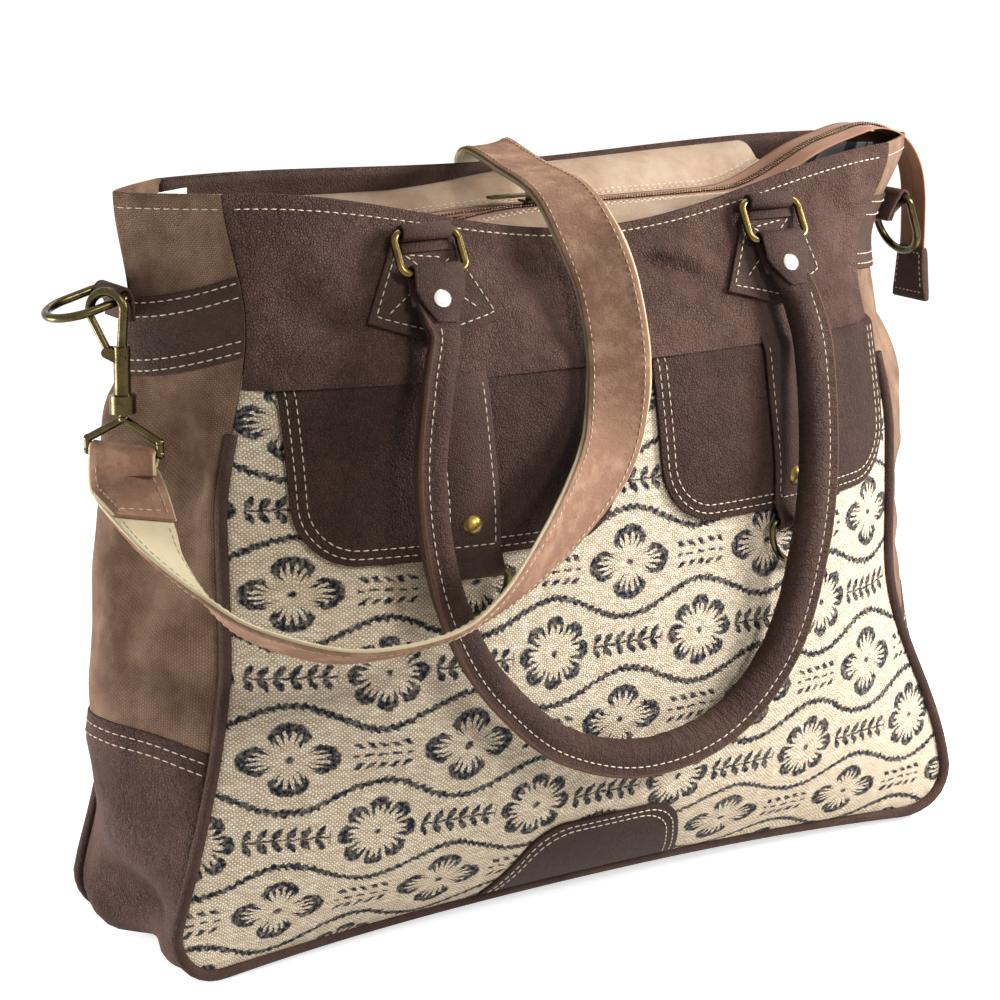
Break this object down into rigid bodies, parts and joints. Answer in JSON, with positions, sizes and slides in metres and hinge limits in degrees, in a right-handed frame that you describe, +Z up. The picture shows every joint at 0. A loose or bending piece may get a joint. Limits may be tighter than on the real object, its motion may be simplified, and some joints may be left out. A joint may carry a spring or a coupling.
{
  "type": "carpet bag",
  "caption": "Soft carpet bag holdall with printed cloth front, leather trim, rolled handles, flap pockets, zipped mouth and a clip-on shoulder strap.",
  "frame": {"origin": "middle of the flat base, on the floor", "axes": "+X to the right along the mouth, +Y to the back, +Z up"},
  "size_m": [0.5606, 0.2734, 0.4123],
  "materials": {
    "printed_cotton": "coarse woven cotton with a dark block print",
    "brown_canvas": "washed canvas",
    "striped_lining": "striped cotton",
    "tan_cloth": "brushed cloth",
    "zip_tape": "woven tape",
    "zip_teeth": "coil",
    "nickel": "polished caps",
    "strap_suede": "suede backed with canvas",
    "antique_brass": "aged",
    "brown_leather": "pebbled, stitched in cream thread"
  },
  "bodies": {
    "bag": {"front_panel": "printed_cotton", "front_band": "brown_leather", "back_panel": "brown_canvas", "back_band": "brown_leather", "left_gusset": "brown_canvas", "right_gusset": "brown_canvas", "base_gusset": "brown_leather", "front_piping": "brown_leather", "back_piping": "brown_leather", "left_gusset_strap": "brown_leather", "right_gusset_strap": "brown_leather", "front_base_patch": "brown_leather", "lining": "striped_lining", "left_pocket_flap": "brown_leather", "right_pocket_flap": "brown_leather", "left_pocket_strap": "brown_leather", "right_pocket_strap": "brown_leather", "left_pocket_stud": "antique_brass", "right_pocket_stud": "antique_brass", "left_pocket_pouch": "striped_lining", "right_pocket_pouch": "striped_lining", "front_left_tab": "brown_leather", "front_right_tab": "brown_leather", "back_left_tab": "brown_leather", "back_right_tab": "brown_leather", "left_d_ring_tab": "brown_leather", "right_d_ring_tab": "brown_leather", "shoulder_strap": "strap_suede", "front_zip_panel": "tan_cloth", "back_zip_panel": "tan_cloth", "front_zip_tape": "zip_tape", "back_zip_tape": "zip_tape", "front_zip_coil": "zip_teeth", "back_zip_coil": "zip_teeth", "zip_end_tab": "brown_leather"},
    "front_rings": {"front_left_ring": "antique_brass", "front_right_ring": "antique_brass"},
    "front_handle": {"front_handle": "brown_leather", "front_left_rivet": "nickel", "front_right_rivet": "nickel"},
    "back_rings": {"back_left_ring": "antique_brass", "back_right_ring": "antique_brass"},
    "back_handle": {"back_handle": "brown_leather", "back_left_rivet": "nickel", "back_right_rivet": "nickel"},
    "left_d_ring": {"left_d_ring": "antique_brass"},
    "left_hook": {"left_hook": "antique_brass"},
    "left_hook_gate": {"left_hook_gate": "antique_brass"},
    "left_swivel_eye": {"left_swivel_eye": "antique_brass"},
    "right_d_ring": {"right_d_ring": "antique_brass"},
    "right_hook": {"right_hook": "antique_brass"},
    "right_hook_gate": {"right_hook_gate": "antique_brass"},
    "right_swivel_eye": {"right_swivel_eye": "antique_brass"},
    "left_pocket_ring": {"left_pocket_ring": "antique_brass"},
    "right_pocket_ring": {"right_pocket_ring": "antique_brass"},
    "zip_slider": {"zip_slider": "antique_brass"},
    "zip_pull": {"zip_pull": "antique_brass"}
  },
  "joints": [
    {"name": "front_rings_swing", "type": "hinge", "parent": "bag", "child": "front_rings", "pos_m": [0, -0.05691, 0.38185], "axis": [-1, 0, 0], "range_deg": [0, 100]},
    {"name": "front_handle_swing", "type": "hinge", "parent": "front_rings", "child": "front_handle", "pos_m": [0, -0.06767, 0.36266], "axis": [-1, 0, 0], "range_deg": [0, 75]},
    {"name": "back_rings_swing", "type": "hinge", "parent": "bag", "child": "back_rings", "pos_m": [0, 0.05691, 0.39077], "axis": [1, 0, 0], "range_deg": [0, 100]},
    {"name": "back_handle_swing", "type": "hinge", "parent": "back_rings", "child": "back_handle", "pos_m": [0, 0.06767, 0.37158], "axis": [1, 0, 0], "range_deg": [0, 75]},
    {"name": "left_d_ring_swing", "type": "hinge", "parent": "bag", "child": "left_d_ring", "pos_m": [-0.25609, 0, 0.355], "axis": [0, 1, 0], "range_deg": [0, 60], "deforming": ["shoulder_strap"]},
    {"name": "left_hook_swing", "type": "hinge", "parent": "left_d_ring", "child": "left_hook", "pos_m": [-0.26768, -0.017, 0.35189], "axis": [-0.9659, 0, -0.2588], "range_deg": [-6, 30], "deforming": ["shoulder_strap"]},
    {"name": "left_hook_gate_open", "type": "hinge", "parent": "left_hook", "child": "left_hook_gate", "pos_m": [-0.26735, -0.01737, 0.32889], "axis": [0.7431, 0.6691, 0], "range_deg": [0, 18], "stiffness_Nm_per_rad": 0.05, "springref_deg": -11.46},
    {"name": "left_eye_swivel", "type": "hinge", "parent": "left_hook", "child": "left_swivel_eye", "pos_m": [-0.2628, -0.02243, 0.29889], "axis": [0, 0, 1], "range_deg": [-30, 10], "deforming": ["shoulder_strap"]},
    {"name": "left_pocket_ring_swing", "type": "hinge", "parent": "bag", "child": "left_pocket_ring", "pos_m": [-0.105, -0.09762, 0.2133], "axis": [-0.9922, 0.125, 0], "range_deg": [0, 12]},
    {"name": "right_d_ring_swing", "type": "hinge", "parent": "bag", "child": "right_d_ring", "pos_m": [0.24536, 0, 0.369], "axis": [0, -1, 0], "range_deg": [0, 60], "deforming": ["shoulder_strap"]},
    {"name": "right_hook_swing", "type": "hinge", "parent": "right_d_ring", "child": "right_hook", "pos_m": [0.24946, 0.017, 0.35772], "axis": [0.342, 0, -0.9397], "range_deg": [0, 40], "deforming": ["shoulder_strap"]},
    {"name": "right_hook_gate_open", "type": "hinge", "parent": "right_hook", "child": "right_hook_gate", "pos_m": [0.23599, 0.03565, 0.35792], "axis": [-0.3121, -0.2351, 0.9205], "range_deg": [0, 18], "stiffness_Nm_per_rad": 0.05, "springref_deg": -11.46},
    {"name": "right_eye_swivel", "type": "hinge", "parent": "right_hook", "child": "right_swivel_eye", "pos_m": [0.22293, 0.06337, 0.36058], "axis": [0.6018, -0.7986, 0], "range_deg": [-40, 40], "deforming": ["shoulder_strap"]},
    {"name": "right_pocket_ring_swing", "type": "hinge", "parent": "bag", "child": "right_pocket_ring", "pos_m": [0.105, -0.09612, 0.2133], "axis": [-0.9864, -0.1643, 0], "range_deg": [0, 10]},
    {"name": "zip_slide", "type": "slide", "parent": "bag", "child": "zip_slider", "axis": [1, 0, 0], "range_m": [-0.12, 0.11], "deforming": ["front_zip_tape", "back_zip_tape", "front_zip_coil", "back_zip_coil", "front_zip_panel", "back_zip_panel"]},
    {"name": "zip_pull_flip", "type": "hinge", "parent": "zip_slider", "child": "zip_pull", "pos_m": [-0.006, 0, 0.38655], "axis": [0, 1, 0], "range_deg": [0, 150]}
  ]
}
